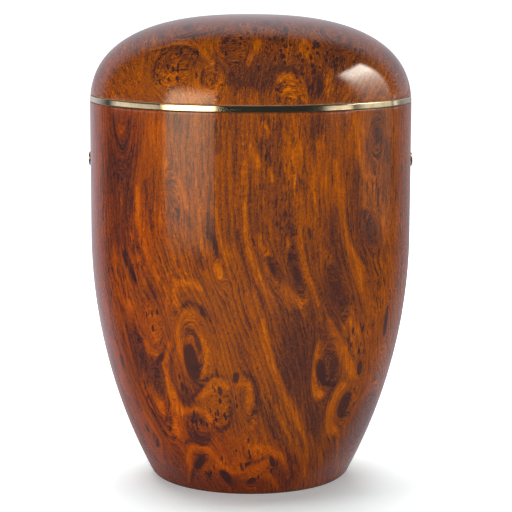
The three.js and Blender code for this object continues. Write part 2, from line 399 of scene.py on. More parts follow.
# The same, along curves
BODY_STROKES = each(Stroke, [
    (1.3, 2.4, [(8, 116), (10, 100), (16, 82), (28, 62), (38, 48), (47, 30), (53, 12)]),
    (1, 2, [(0, 104), (8, 80), (18, 58), (30, 40), (38, 28)]),
    (-1.2, 1.2, [(5, 86), (13, 66), (20, 50), (30, 38), (44, 18)]),
    (-1, 1.2, [(-6, 98), (2, 78), (9, 58), (16, 46), (26, 36)]),
    (-1.2, 1.3, [(36, 45), (46, 30), (56, 13)]),
    (1.6, 2.4, [(45, 100), (43, 88), (44, 74), (48, 66), (53, 68)]),
    (-1, 1.3, [(41, 98), (40, 84), (42, 70), (50, 60)]),
    (1.2, 3, [(70, 73), (63, 64), (61, 52), (65, 43), (74, 40)]),
    (-0.9, 1.2, [(64, 76), (59, 66), (57, 52), (60, 42)]),
    (1, 3, [(51, 113), (60, 98), (71, 83), (82, 75)]), (-1, 1.2, [(55, 113), (65, 100), (76, 86)]),
    (0.9, 1.6, [(66, 113), (74, 104), (80, 92)]), (1.3, 2.4, [(-8, 76), (-3, 78), (0, 70), (-1, 58)]),
    (-1.3, 1.3, [(-4, 83), (4, 76), (5, 62), (0, 52)]), (0.9, 1.6, [(0, 56), (3, 52), (2, 47)]),
    (1.2, 2.2, [(-10, 19), (2, 19), (14, 23), (22, 30)]), (1, 1.8, [(-8, 12), (8, 15), (20, 12), (28, 5)]),
    (-1, 1.2, [(-6, 30), (4, 24), (12, 27)]), (1.2, 2, [(6, 34), (18, 32), (28, 26), (36, 12)]),
    (-1, 1.3, [(22, 36), (33, 27), (42, 10)]),
    (-1.2, 1.1, [(0, 205), (1, 172), (5, 150), (14, 131), (25, 118)]),
    (1, 1.8, [(-4, 232), (-3, 182), (2, 152), (12, 133), (24, 122)]),
    (1.2, 2.2, [(6, 166), (11, 149), (20, 135), (31, 123)]),
    (-0.8, 1.1, [(-8, 215), (-7, 178), (-3, 152), (6, 130), (14, 114)]),
    (1.4, 1.3, [(25, 203), (29, 174), (33, 148), (43, 123)]), (-1, 1.1, [(32, 165), (37, 144), (49, 120)]),
    (1.3, 3.2, [(52, 208), (56, 182), (62, 162), (70, 146), (73, 130)]),
    (-1.2, 1.3, [(60, 180), (66, 160), (76, 146)]), (-1.7, 2.2, [(24, 155), (28, 142), (32, 131)]),
    (-1.6, 1.8, [(10, 154), (14, 146), (18, 138)]), (-1.6, 2.8, [(49, 144), (54, 133), (60, 122)]),
    (-1.6, 2.6, [(75, 177), (80, 166), (83, 158)]), (-1.6, 3.2, [(84, 230), (86, 215)]),
    (-1.2, 2.6, [(96, 220), (97, 205)]), (1.8, 1.3, [(0, 219), (3, 212), (5, 206)]),
    (1.4, 1.5, [(8, 232), (12, 225)]), (1.4, 1.2, [(11, 206), (13, 198)]), (1, 1.8, [(76, 187), (74, 172)]),
    (1.2, 1.6, [(47, 157), (49, 148)]), (1, 2, [(70, 214), (76, 196)]),
    (1, 1.4, [(-46, 98), (-44, 110), (-38, 115), (-31, 109), (-28, 94), (-30, 80)]),
    (-1.2, 1.1, [(-42, 104), (-38, 109), (-33, 102), (-32, 92)]),
    (1.2, 1.9, [(-53, 99), (-58, 86), (-58, 72), (-54, 60), (-47, 56)]),
    (-1, 1.2, [(-49, 99), (-54, 84), (-53, 72), (-46, 62), (-37, 68), (-30, 75)]),
    (1.4, 2.2, [(-38, 65), (-29, 71), (-21, 76), (-15, 73)]),
    (-0.9, 1.2, [(-30, 77), (-22, 81), (-14, 79)]),
    (1.2, 1.7, [(-52, 54), (-45, 57), (-37, 58), (-31, 55), (-29, 47)]),
    (-1.8, 2.8, [(-46, 46), (-44, 38), (-37, 37), (-32, 42)]),
    (-1.6, 1.8, [(-44, 50), (-39, 53), (-34, 49)]),
    (-1.3, 1.2, [(-28, 48), (-22, 45), (-16, 49), (-13, 60), (-16, 69)]),
    (1.4, 1.8, [(-58, 20), (-50, 30), (-44, 33), (-34, 31), (-26, 24), (-18, 18), (-8, 16)]),
    (-1.3, 1.2, [(-54, 34), (-46, 37), (-37, 34)]), (-1.7, 2.4, [(-50, 18), (-44, 23), (-37, 27)]),
    (-1.7, 2.2, [(-26, 17), (-21, 13), (-16, 9)]), (-1, 2, [(-38, 12), (-35, 15)]),
    (1, 1.3, [(-64, 6), (-56, 17), (-50, 26)]), (-1.2, 1.3, [(-60, 6), (-52, 16)]),
    (0.9, 1.3, [(-34, 18), (-28, 20), (-24, 16)]),
    (-1.3, 1.1, [(-88, 72), (-82, 56), (-75, 43), (-67, 36), (-60, 38)]),
    (0.9, 1.2, [(-86, 74), (-79, 58), (-72, 45), (-66, 39), (-61, 44)]),
    (-1.2, 1.1, [(-82, 67), (-76, 53), (-70, 44), (-66, 42), (-62, 50), (-60, 64)]),
    (-1.2, 1.1, [(-78, 63), (-73, 52), (-68, 47), (-65, 53), (-63, 68)]),
    (1.6, 3, [(-58, 76), (-55, 60), (-57, 48), (-60, 38)]), (0.8, 1.3, [(-92, 110), (-90, 92), (-88, 76)]),
    (1.4, 2, [(-73, 98), (-69, 91), (-62, 91)]), (-1.3, 1.4, [(-65, 85), (-58, 92), (-56, 97)]),
    (1, 1.4, [(-92, 50), (-86, 42), (-80, 32)]),
    (1.2, 2, [(-74, 186), (-72, 169), (-66, 153), (-58, 139), (-52, 126)]),
    (1, 1.3, [(-81, 166), (-76, 152), (-70, 140), (-66, 132)]),
    (1.2, 1.6, [(-98, 152), (-94, 138), (-88, 126), (-82, 116)]),
    (1, 1.3, [(-91, 155), (-87, 142), (-81, 130)]), (-1.6, 1.4, [(-86, 152), (-81, 142), (-76, 132)]),
    (-1.2, 1.3, [(-94, 142), (-89, 128), (-86, 120)]), (-1.2, 1.3, [(-72, 146), (-66, 135), (-60, 126)]),
    (-0.9, 1.4, [(-97, 233), (-94, 222), (-88, 216), (-82, 221), (-79, 233)]),
    (-0.9, 1.1, [(-101, 217), (-95, 206), (-87, 202), (-80, 206), (-75, 217)]),
    (-0.8, 1.1, [(-100, 206), (-94, 198), (-87, 195), (-80, 198)]),
    (-1.2, 1.4, [(-67, 196), (-65, 182), (-62, 167)]), (1.3, 2, [(-74, 192), (-72, 178), (-69, 167)]),
    (1.2, 2, [(-53, 230), (-53, 204), (-54, 170)]), (-1.3, 1.6, [(-50, 196), (-46, 185)]),
    (1, 1.3, [(-47, 203), (-41, 192), (-37, 178)]), (-1.2, 1.1, [(-38, 180), (-35, 168)]),
    (-1.4, 1.5, [(-20, 233), (-19, 214)]), (1.2, 1.3, [(-30, 184), (-30, 166), (-26, 152)]),
    (-1.2, 1.8, [(-25, 179), (-22, 165), (-18, 151)]), (1, 1.2, [(-20, 182), (-17, 164), (-13, 148)]),
    (-0.9, 2.4, [(-32, 158), (-29, 147)]), (1.8, 1.9, [(-19, 148), (-17, 140)]),
    (1.4, 1.4, [(-51, 142), (-44, 137), (-36, 137), (-29, 133)]),
    (1.4, 1.6, [(-46, 138), (-46, 130), (-45, 121)]),
    (-1.2, 1.4, [(-43, 120), (-38, 125), (-30, 122), (-24, 114)]), (1.2, 2.6, [(-41, 118), (-35, 118)]),
])

# Where the grain curls
BODY_WILD = each(Blot, [
    (-24, 58, 12, 15, 0.6), (-20, 16, 60, 12, 0.7), (2, 32, 14, 12, 0.7), (92, 160, 16, 46, 0.3),
    (18, 195, 8, 40, 0.3), (-66, 108, 8, 12, 0.3),
])

# Where it runs smooth and fine
BODY_CALM = each(Blot, [
    (-12, 175, 16, 70, 1), (8, 90, 16, 40, 0.8, -24), (-68, 50, 14, 16, 0.7), (-38, 100, 12, 24, 0.6),
    (-88, 215, 14, 24, 0.7),
])

BODY_FIGURE = Figure(
    BODY_KNOTS, BODY_SPOTS, BODY_PITS, BODY_DASHES, BODY_TONES, BODY_STROKES, BODY_WILD, BODY_CALM,
)

# The same for the lid, seen from above: 0, 0 is its top, and along is less than 0 towards the front
LID_KNOTS = each(Knot, [
    (-48, -84, 16, 15, 0.4, 10), (-26, -104, 8, 13, 1.5), (-11, -80, 9, 17, 0.4), (-40, -44, 11, 20, 1.2),
    (52, -48, 10, 18, 1.2, -4), (27, -118, 12, 16, 0.4),
])

LID_SPOTS = each(Blot, [
    (-38, -42, 3.4, 9, 0.6), (10, -44, 2.4, 9, 0.5), (36, -40, 2, 9, 0.5), (54, -50, 2.4, 6, 0.5),
    (21, -57, 1.8, 8, 0.6), (28, -54, 1.4, 6, 0.5), (3, -58, 1.2, 7, 0.5), (40, -70, 2.4, 4, 0.8, -14),
    (46, -101, 2.2, 6, 0.7, -10), (-14, -74, 1.2, 3, 0.6, 10), (12, -73, 1.8, 2.4, 0.5),
    (-83, -33, 1.2, 1.6, 1.4),
])

LID_PITS = each(Blot, [
    (-48, -86, 14, 12, 1), (-11, -79, 8, 14, 1), (14, -80, 12, 16, 1), (44, -86, 14, 20, 1),
    (20, -56, 34, 9, 0.5), (-22, -94, 6, 6, 0.4),
])

LID_DASHES = each(Blot, [
    (0, -70, 90, 40, 0.4), (44, -84, 14, 20, 0.8),
])

LID_TONES = each(Blot, [
    (10, -100, 80, 14, -0.5), (-36, -110, 22, 6, 1.2), (-38, -82, 5, 7, -0.9), (-52, -78, 8, 5, -0.4),
    (-50, -94, 12, 6, 0.8), (-12, -77, 7, 11, -0.7), (14, -73, 8, 5, -0.8), (12, -90, 8, 8, -0.3),
    (50, -80, 9, 10, -0.8), (44, -98, 6, 8, -0.5), (66, -66, 10, 14, -0.5), (-34, -62, 18, 3.5, -0.5),
    (-72, -78, 12, 16, 0.4), (-27, -80, 5, 12, 0.7), (-26, -104, 5, 8, 0.4), (1, -106, 14, 5, -1.2),
    (27, -110, 8, 6, 0.4), (62, -96, 8, 10, 0.4),
])

LID_STROKES = each(Stroke, [
    (1.2, 1.4, [(-64, -60), (-54, -64), (-44, -66), (-34, -73), (-28, -84), (-24, -94)]),
    (-1.2, 1.2, [(-60, -64), (-52, -68), (-42, -71), (-35, -78), (-31, -90)]),
    (-1, 1.3, [(-63, -92), (-61, -78), (-53, -72), (-44, -74), (-39, -84)]),
    (1.2, 1.3, [(-19, -68), (-20, -78), (-17, -92)]), (-0.9, 1.2, [(-15, -70), (-17, -80), (-14, -92)]),
    (1.7, 1.8, [(5, -75), (3, -86), (-2, -97)]), (1.4, 1.8, [(33, -67), (31, -76), (30, -85)]),
    (1.2, 1.3, [(37, -72), (35, -80), (36, -88)]), (1.2, 1.6, [(52, -86), (51, -95), (53, -105)]),
    (-1.4, 1.8, [(58, -72), (56, -84), (58, -96)]),
    (1.8, 2.4, [(17, -106), (24, -103), (32, -106), (38, -114)]),
    (1.2, 1.6, [(21, -114), (26, -109), (32, -113)]),
    (-1.5, 1.4, [(12, -101), (22, -97), (33, -99), (41, -108)]),
    (-1.8, 4, [(-12, -108), (0, -106), (12, -106)]), (-1.5, 2.6, [(44, -96), (47, -107)]),
    (1, 1.6, [(-33, -95), (-35, -104), (-29, -111), (-20, -107), (-19, -98)]),
    (-1.2, 1.2, [(-29, -97), (-31, -104), (-26, -108), (-22, -102)]),
    (-0.9, 1.3, [(43, -36), (44, -50), (51, -60), (60, -57), (63, -42)]),
    (-0.8, 1.3, [(-56, -34), (-54, -50), (-44, -59), (-30, -62), (-16, -54), (-14, -38)]),
    (-0.8, 1.2, [(4, -36), (6, -50), (12, -56), (17, -46), (17, -34)]),
])

LID_WILD = each(Blot, [
    (0, -70, 100, 60, 0.15), (2, -104, 16, 6, 0.8), (12, -84, 12, 14, 0.3), (46, -86, 12, 16, 0.3),
    (-48, -87, 13, 9, 0.3), (-76, -80, 10, 14, 0.4),
])

LID_CALM = each(Blot, [
    (-26, -104, 8, 12, 0.6), (27, -108, 10, 8, 0.6),
])

LID_FIGURE = Figure(
    LID_KNOTS, LID_SPOTS, LID_PITS, LID_DASHES, LID_TONES, LID_STROKES, LID_WILD, LID_CALM,
)


def wrapped(across, full_turn):
    """The same place within half a turn of 0, where a full turn comes round again."""
    if not full_turn:
        return across
    return (across + full_turn / 2) % full_turn - full_turn / 2


def offsets(feature, across, along, full_turn):
    """Places seen from a feature, in its own half widths and half lengths."""
    da = wrapped(across - feature.across, full_turn)
    dl = along - feature.along
    c = math.cos(math.radians(feature.tilt))
    s = math.sin(math.radians(feature.tilt))
    return (da * c - dl * s) / feature.half_width, (dl * c + da * s) / feature.half_length


KNOT_REACH = 3  # power by which the grain outside a knot goes back to its own course
FADE = 0.7  # a feature's strength is e to the power of minus this, where its half width ends
HARDNESS = {"spots": 2.4, "pits": 3, "dashes": 2, "wild": 2.5, "calm": 2.5}  # how sharply each kind ends
SOFT = 2  # the hardness of tones and strokes
STRONGEST_TONE = 1.6
UPRIGHT_FROM = 165  # height above which the vessel's grain stands upright
LEAN = 62  # how far it has moved to the right at the foot
LEAN_POWER = 1.25
LID_NARROWING = 0.0012  # part by which the lid's grain draws together for each mm towards the front
STROKE_TIP = 0.45  # part of a stroke's width that is left at its ends
STROKE_TAPER = 3  # how soon it widens from there


def grain(course, across, along, knots, full_turn):
    """Which growth line each place lies on, in mm. The lines part round a knot, and ring it inside."""
    lines = course(across, along)
    for knot in knots:
        q = np.hypot(*offsets(knot, across, along, full_turn))
        middle = course(knot.across, knot.along)
        apart = wrapped(lines - middle, full_turn)
        outside = middle + apart * (1 - np.maximum(q, 1) ** -KNOT_REACH)
        inside = middle + knot.rings * knot.half_width * (1 - q)
        lines = np.where(q > 1, outside, inside)
    return lines


def hills(blots, across, along, full_turn, hardness):
    """How strongly each blot shows at each place. It ends sharply where the hardness is great."""
    for blot in blots:
        q = np.hypot(*offsets(blot, across, along, full_turn))
        yield blot.amount * np.exp(-FADE * q ** hardness)


def along_curve(points):
    """The points of a smooth curve through a stroke's points, ten for each step."""
    held = np.array([points[0], *points, points[-1]], float)
    curve = []
    for a, b, c, d in zip(held, held[1:], held[2:], held[3:]):
        for t in np.arange(0, 1, 0.1):
            bend = t * (2 * a - 5 * b + 4 * c - d + t * (3 * b - a - 3 * c + d))
            curve.append(b + 0.5 * t * (c - a + bend))
    return np.array(curve + [held[-1]])


def stroked(strokes, across, along, full_turn):
    """The strokes added up. Each is strongest on its line, and narrows towards its ends."""
    total = np.zeros_like(across)
    for stroke in strokes:
        curve = along_curve(stroke.points)
        low = curve.min(0) - 3 * stroke.half_width
        high = curve.max(0) + 3 * stroke.half_width
        u = wrapped(across - curve[0, 0], full_turn) + curve[0, 0]
        near = np.flatnonzero((u > low[0]) & (u < high[0]) & (along > low[1]) & (along < high[1]))
        place = np.stack([u[near], along[near]], 1)
        q = np.full(len(near), np.inf)
        for i, middle in enumerate(curve):
            from_end = min(i, len(curve) - 1 - i) / len(curve)
            width = stroke.half_width * min(1, STROKE_TIP + STROKE_TAPER * from_end)
            q = np.minimum(q, np.hypot(*(place - middle).T) / width)
        total[near] += stroke.amount * np.exp(-FADE * q ** SOFT)
    return total


def body_course(across, along):
    """Growth lines of the vessel away from knots: upright at the top, and leaning more and more below."""
    below = np.maximum(0, UPRIGHT_FROM - np.asarray(along, float)) / UPRIGHT_FROM
    return across - LEAN * below ** LEAN_POWER


def lid_course(across, along):
    """Growth lines of the lid away from knots, which draw together a little towards the front."""
    return across * (1 - LID_NARROWING * np.asarray(along, float))


def scattered(seed, count, across_range, along_range, full_turn):
    """Knots and blots for the surface that the photo doesn't show, alike in kind to those it does."""
    draw = np.random.default_rng(seed).uniform
    knots, spots, pits, dashes, tones = [], [], [], [], []
    for _ in range(count):
        across = wrapped(draw(*across_range), full_turn)
        along = draw(*along_range)
        width = draw(4, 13)
        length = width * draw(1.4, 2.4)
        tilt = draw(-22, 6)
        kind = draw()
        knots.append(Knot(across, along, width, length, draw(0.9, 1.8), tilt))
        if kind < 0.5:
            spots.append(Blot(across, along, width * 0.35, length * 0.4, draw(0.8, 1), tilt))
        elif kind < 0.75:
            pits.append(Blot(across, along, width, length, draw(0.7, 1), tilt))
        else:
            dashes.append(Blot(across, along, 1.5 * width, 1.5 * length, draw(0.6, 1), tilt))
        for _ in range(2):
            place = (across + draw(-25, 25), along + draw(-30, 30))
            tones.append(Blot(*place, draw(3, 13), draw(12, 32), draw(-1.1, 1), tilt))
    return Figure(knots, spots, pits, dashes, tones, [], [], [])


def joined(one, other):
    """A figure with the features of both."""
    return Figure(*[a + b for a, b in zip(one, other)])


def on_drum(across, along):
    """A place on the drum, as a vector that comes round again without a seam."""
    turn = across / DRUM_RADIUS
    return np.stack([DRUM_RADIUS * np.cos(turn), DRUM_RADIUS * np.sin(turn), along], 1)


def paint_burl(mesh, across, along, course, full_turn, figure):
    """Keeps the figure on the mesh: where a vertex lies in the grain, and how strongly each feature shows."""
    place = (across, along, full_turn)
    paint(mesh, "grain", on_drum(grain(course, across, along, figure.knots, full_turn), along))
    paint(mesh, "plan", on_drum(across, along))
    tone = sum(hills(figure.tones, *place, SOFT)) + stroked(figure.strokes, *place)
    paint(mesh, "tone", np.clip(tone, -STRONGEST_TONE, STRONGEST_TONE))
    for name, hardness in HARDNESS.items():
        strongest = np.max(list(hills(getattr(figure, name), *place, hardness)), axis=0)
        paint(mesh, name, np.clip(strongest, 0, 1))


# Materials

class Nodes:
    """A material's node tree, with short calls that each add one node and give back its output."""

    def __init__(self, name):
        self.material = bpy.data.materials.new(name)
        self.material.use_nodes = True
        self.tree = self.material.node_tree
        self.shader = self.tree.nodes["Principled BSDF"]

    def add(self, kind, inputs, output=0, **settings):
        node = self.tree.nodes.new(kind)
        for key, value in settings.items():
            setattr(node, key, value)
        for key, value in inputs.items():
            self.set(node.inputs[key], value)
        return node.outputs[output]

    def set(self, socket, value):
        if isinstance(value, bpy.types.NodeSocket):
            self.tree.links.new(value, socket)
        else:
            socket.default_value = value

    def position(self):
        """Place on the piece in mm."""
        place = self.add("ShaderNodeTexCoord", {}, "Object")
        return self.scaled(place, 1 / MM)

    def scaled(self, vector, factor):
        return self.add("ShaderNodeVectorMath", {0: vector, "Scale": factor}, operation="SCALE")

    def times(self, vector, factors):
        return self.add("ShaderNodeVectorMath", {0: vector, 1: factors}, operation="MULTIPLY")

    def plus(self, vector, other):
        return self.add("ShaderNodeVectorMath", {0: vector, 1: other}, operation="ADD")

    def split(self, vector, axis):
        return self.add("ShaderNodeSeparateXYZ", {0: vector}, axis)

    def read(self, name, output="Fac"):
        return self.add("ShaderNodeAttribute", {}, output, attribute_name=name)

    def math(self, operation, a, b=0.0, c=0.0):
        return self.add("ShaderNodeMath", {0: a, 1: b, 2: c}, operation=operation)

    def product(self, a, b):
        return self.math("MULTIPLY", a, b)

    def total(self, a, b):
        return self.math("ADD", a, b)

    def raised(self, a, b, c):
        """a times b, plus c."""
        return self.math("MULTIPLY_ADD", a, b, c)

    def noise(self, vector, size, detail=2.0, roughness=0.5, output="Fac"):
        """Noise whose main features are about size mm across."""
        inputs = {"Vector": vector, "Scale": 1 / size, "Detail": detail, "Roughness": roughness}
        return self.add("ShaderNodeTexNoise", inputs, output)

    def spread(self, value, low, high, to_low=0.0, to_high=1.0, kind="LINEAR"):
        """A straight slope from one level at low to another at high."""
        inputs = {"Value": value, "From Min": low, "From Max": high, "To Min": to_low, "To Max": to_high}
        return self.add("ShaderNodeMapRange", inputs, interpolation_type=kind)

    def rise(self, *levels):
        """The same as a smooth step."""
        return self.spread(*levels, kind="SMOOTHSTEP")

    def ramp(self, value, stops):
        out = self.add("ShaderNodeValToRGB", {"Fac": value})
        elements = out.node.color_ramp.elements
        while len(elements) < len(stops):
            elements.new(0.5)
        for element, (place, colour) in zip(elements, stops):
            element.position = place
            element.color = (*linear(colour), 1)
        return out

    def mix(self, factor, a, b):
        return self.add("ShaderNodeMix", {"Factor": factor, 6: a, 7: b}, 2, data_type="RGBA")

    def bump(self, height, depth, strength=1.0):
        inputs = {"Height": height, "Distance": depth * MM, "Strength": strength}
        return self.add("ShaderNodeBump", inputs)

    def surface(self, factor, shader, other):
        """Makes the surface a mix of two shaders."""
        mixed = self.add("ShaderNodeMixShader", {0: factor, 1: shader, 2: other})
        self.set(self.tree.nodes["Material Output"].inputs["Surface"], mixed)

    def finish(self, **values):
        """Sets the shader's sockets by name, with _ for a space."""
        for key, value in values.items():
            self.set(self.shader.inputs[key.replace("_", " ")], value)
        return self.material


def linear(colour):
    """An sRGB colour, 0 to 255, as linear light."""
    return [((c / 255 + 0.055) / 1.055) ** 2.4 if c > 10 else c / 255 / 12.92 for c in colour]


RINGS_A_TURN = 150  # growth rings round the vessel


def burl_material():
    """Red-brown burl under clear lacquer: growth lines, finer fibre, dark eyes, and pits with bright rims."""
    n = Nodes("burl")
    place = n.position()
    wild = n.read("wild")
    calm = n.read("calm")

    # The growth lines waver a little, and curl where the burl grows wild
    def wander(factor, size, least, most):
        """A shift to any side, from the least in calm wood to the most in wild."""
        shift = n.noise(n.times(place, (1, 1, factor)), size, 2, output="Color")
        return n.scaled(n.plus(shift, (-0.5, -0.5, -0.5)), n.spread(wild, 0, 1, least, most))

    broad = wander(0.5, 22, 6, 13)
    fine = wander(0.7, 5, 0.9, 6)
    flow = n.plus(n.plus(n.read("grain", "Vector"), broad), fine)

    def drawn(factor, *settings):
        """Noise drawn out along the grain, the more so the smaller the factor is."""
        return n.noise(n.times(flow, (1, 1, factor)), *settings)

    patches = drawn(0.4, 12, 2)
    stripes = drawn(0.12, 3.6, 4, 0.6)
    threads = drawn(0.08, 1.1, 3, 0.7)
    flecks = drawn(0.3, 0.55, 2, 0.6)
    pores = drawn(0.7, 0.38, 1)
    curls = drawn(0.7, 1.2, 3, 0.7)

    def layer(value, pattern, amount):
        """Adds a pattern of 0 to 1 that leaves the mean as it is."""
        half = n.product(amount, -0.5)
        return n.total(n.raised(pattern, amount, value), half)

    # Dark, middle and light wood, which meet in crisp edges
    form = layer(0.465, stripes, n.raised(calm, -0.3, n.spread(wild, 0, 1, 0.62, 0.34)))
    form = layer(form, patches, 0.32)
    form = layer(form, threads, 0.16)
    form = layer(form, curls, n.spread(wild, 0, 1, 0.05, 0.45))
    form = n.raised(n.read("tone"), 0.25, form)
    steps = n.product(n.rise(form, 0.25, 0.31), 0.12)
    steps = n.raised(n.rise(form, 0.40, 0.45), 0.14, steps)
    steps = n.raised(n.rise(form, 0.56, 0.61), 0.14, steps)
    value = n.raised(n.total(steps, 0.21), 0.6, n.product(form, 0.4))

    # Finer fibre
    value = layer(value, threads, n.spread(wild, 0, 1, 0.34, 0.20))
    value = layer(value, curls, n.spread(wild, 0, 1, 0.10, 0.34))
    on_lid = n.rise(n.split(place, 2), RIM, RIM + 4)
    value = layer(value, flecks, n.raised(on_lid, 0.40, 0.70))
    value = layer(value, pores, n.raised(on_lid, 0.80, 0.85))

    # Growth rings: each darkens slowly across, is darkest near its end and then clears quickly
    around = n.math("ARCTAN2", n.split(flow, 1), n.split(flow, 0))
    phase = n.raised(around, RINGS_A_TURN / (2 * math.pi), n.product(stripes, 2.2))
    saw = n.math("FRACT", phase)
    line = n.product(n.rise(saw, 0.3, 0.86), n.rise(saw, 0.86, 1, 1, 0))
    depth = n.raised(calm, -0.10, n.spread(wild, 0, 1, -0.11, -0.04))
    value = n.raised(line, depth, n.total(value, 0.03))

    # Thin dark veins
    vein = drawn(0.045, 2.6, 2, 0.5)
    vein = n.rise(n.math("ABSOLUTE", n.math("SUBTRACT", vein, 0.5)), 0, 0.03, 1, 0)
    value = n.raised(vein, -0.09, n.total(value, 0.015))

    # Short dark and bright streaks along the grain, which gather in some places
    dashes = n.read("dashes")
    gathered = n.noise(n.times(place, (1, 1, 0.6)), 13, 2)
    gathered = n.raised(dashes, 0.09, n.spread(gathered, 0.3, 0.7, -0.12, 0.05))
    dark = drawn(0.2, 1.5, 2, 0.5)
    value = n.raised(n.rise(n.total(dark, gathered), 0.58, 0.65), -0.22, value)
    bright = n.noise(n.plus(n.times(flow, (1, 1, 0.16)), (40, 0, 0)), 1.7, 2, 0.5)
    value = n.raised(n.rise(n.total(bright, gathered), 0.58, 0.66), 0.15, value)

    # Dark eyes with ragged edges
    ragged = n.raised(stripes, 1.0, n.total(n.read("spots"), -0.5))
    ragged = n.raised(threads, 0.6, n.total(ragged, -0.3))
    eye = n.rise(ragged, 0.22, 0.54)
    value = n.raised(n.product(eye, -0.82), value, value)

    # Pits with bright rims
    cells = n.times(n.plus(n.read("plan", "Vector"), n.scaled(fine, 0.5)), (0.34, 0.34, 0.15))
    cells = n.add("ShaderNodeTexVoronoi", {"Vector": cells, "Scale": 1.0}, "Distance")
    chance = n.split(cells.node.outputs["Color"], 0)
    held = n.math("GREATER_THAN", n.product(n.read("pits"), 0.8), chance)
    uneven = n.raised(curls, 0.5, n.total(cells, -0.25))
    pit = n.product(held, n.rise(uneven, 0.26, 0.44, 1, 0))
    rim = n.product(n.rise(cells, 0.3, 0.45), n.rise(cells, 0.45, 0.65, 1, 0))
    value = n.raised(n.product(held, rim), 0.10, value)
    value = n.raised(pit, -0.42, value)

    # Redder on the left and at the foot
    orange = n.ramp(value, [
        (0.00, (50, 30, 28)), (0.20, (76, 40, 27)), (0.38, (102, 50, 22)),
        (0.54, (126, 61, 10)), (0.74, (150, 74, 5)), (1.00, (184, 98, 8)),
    ])
    red = n.ramp(value, [
        (0.00, (48, 28, 28)), (0.20, (74, 35, 25)), (0.38, (103, 43, 20)),
        (0.54, (130, 55, 9)), (0.74, (154, 67, 4)), (1.00, (186, 92, 8)),
    ])
    aside = n.raised(n.split(place, 0), -0.8, n.rise(n.split(place, 2), 0, 80, 70, 0))
    aside = n.raised(n.noise(place, 30, 2), 60, aside)
    aside = n.raised(on_lid, -30, aside)
    colour = n.mix(n.rise(aside, 40, 95), orange, red)

    # The lacquer is level but for a faint ripple, and a little duller where it was handled
    handled = n.noise(place, 26, 3, 0.6)
    ripple = n.noise(place, 9, 2, 0.4)
    grainy = n.raised(value, 0.05, ripple)
    return n.finish(
        Base_Color=colour,
        Roughness=n.spread(handled, 0.3, 0.7, 0.08, 0.13),
        Normal=n.bump(grainy, 0.04),
        Specular_IOR_Level=0.5,
        IOR=1.5,
    )


def brass_material():
    """Polished yellow brass with fine lines along the strip and faint tarnish."""
    n = Nodes("brass")
    place = n.position()
    drawn = n.noise(n.times(place, (0.05, 0.05, 1)), 0.35, 2)
    tarnish = n.noise(place, 8, 4, 0.65)
    specks = n.rise(n.noise(place, 0.9, 2), 0.68, 0.8)
    colour = n.mix(n.rise(tarnish, 0.45, 0.75), (0.90, 0.81, 0.58, 1), (0.80, 0.67, 0.40, 1))
    colour = n.mix(n.product(specks, 0.5), colour, (0.35, 0.24, 0.10, 1))
    return n.finish(
        Base_Color=colour,
        Metallic=1.0,
        Roughness=n.spread(tarnish, 0.3, 0.75, 0.09, 0.2),
        Normal=n.bump(drawn, 0.01, 0.5),
    )


def fibre_material():
    """The bare moulded plant fibre inside the vessel and lid: pale brown, matt, flecked with short fibres."""
    n = Nodes("moulded_fibre")
    place = n.position()
    pulp = n.noise(place, 3, 4, 0.7)
    strands = n.noise(n.times(place, (1, 1, 0.3)), 0.6, 3, 0.6)
    value = n.raised(strands, 0.5, n.product(pulp, 0.5))
    colour = n.ramp(value, [(0.25, (92, 66, 44)), (0.5, (140, 108, 76)), (0.75, (172, 142, 106))])
    return n.finish(
        Base_Color=colour,
        Roughness=n.spread(pulp, 0.3, 0.7, 0.78, 0.95),
        Normal=n.bump(value, 0.25, 0.6),
    )


def underside_material():
    """The lacquered underside: plain dark brown, rubbed paler and duller where the urn has stood."""
    n = Nodes("plain_underside")
    place = n.position()
    mottle = n.noise(place, 6, 4, 0.6)
    rubbed = n.rise(n.noise(place, 1.6, 3, 0.7), 0.5, 0.72)
    colour = n.ramp(mottle, [(0.3, (62, 32, 22)), (0.55, (92, 46, 26)), (0.75, (118, 62, 30))])
    colour = n.mix(n.product(rubbed, 0.45), colour, (0.23, 0.13, 0.07, 1))
    return n.finish(
        Base_Color=colour,
        Roughness=n.spread(rubbed, 0, 1, 0.3, 0.6),
        Normal=n.bump(mottle, 0.08, 0.6),
    )


# Pieces

def vessel(burl, fibre, underside):
    piece = turned("urn_vessel", vessel_profile(), AROUND, closed=False)
    drill(piece, BARREL_RADIUS + GAP, EYELET_HEIGHT)
    x, y, z = vectors(piece.data.vertices, "co").T / MM
    across = DRUM_RADIUS * np.arctan2(x, -y)
    hidden = (HIDDEN_FROM, FULL_TURN - HIDDEN_FROM)
    figure = joined(BODY_FIGURE, scattered(7, 34, hidden, (10, 230), FULL_TURN))
    paint_burl(piece.data, across, z, body_course, FULL_TURN, figure)

    # The underside is plain, the inner face is bare fibre, and the rest is burl
    def chooser(centres, normals):
        out = np.hypot(centres[:, 0], centres[:, 1])
        radial = (centres[:, :2] * normals[:, :2]).sum(1)
        inner = (radial <= 0) & (centres[:, 2] > 1)
        below = (centres[:, 2] < 0.02) & (out < BASE_EDGE_CENTRE[0])
        return np.where(below, 2, np.where(inner, 1, 0))

    assign(piece, [burl, fibre, underside], chooser)
    return piece


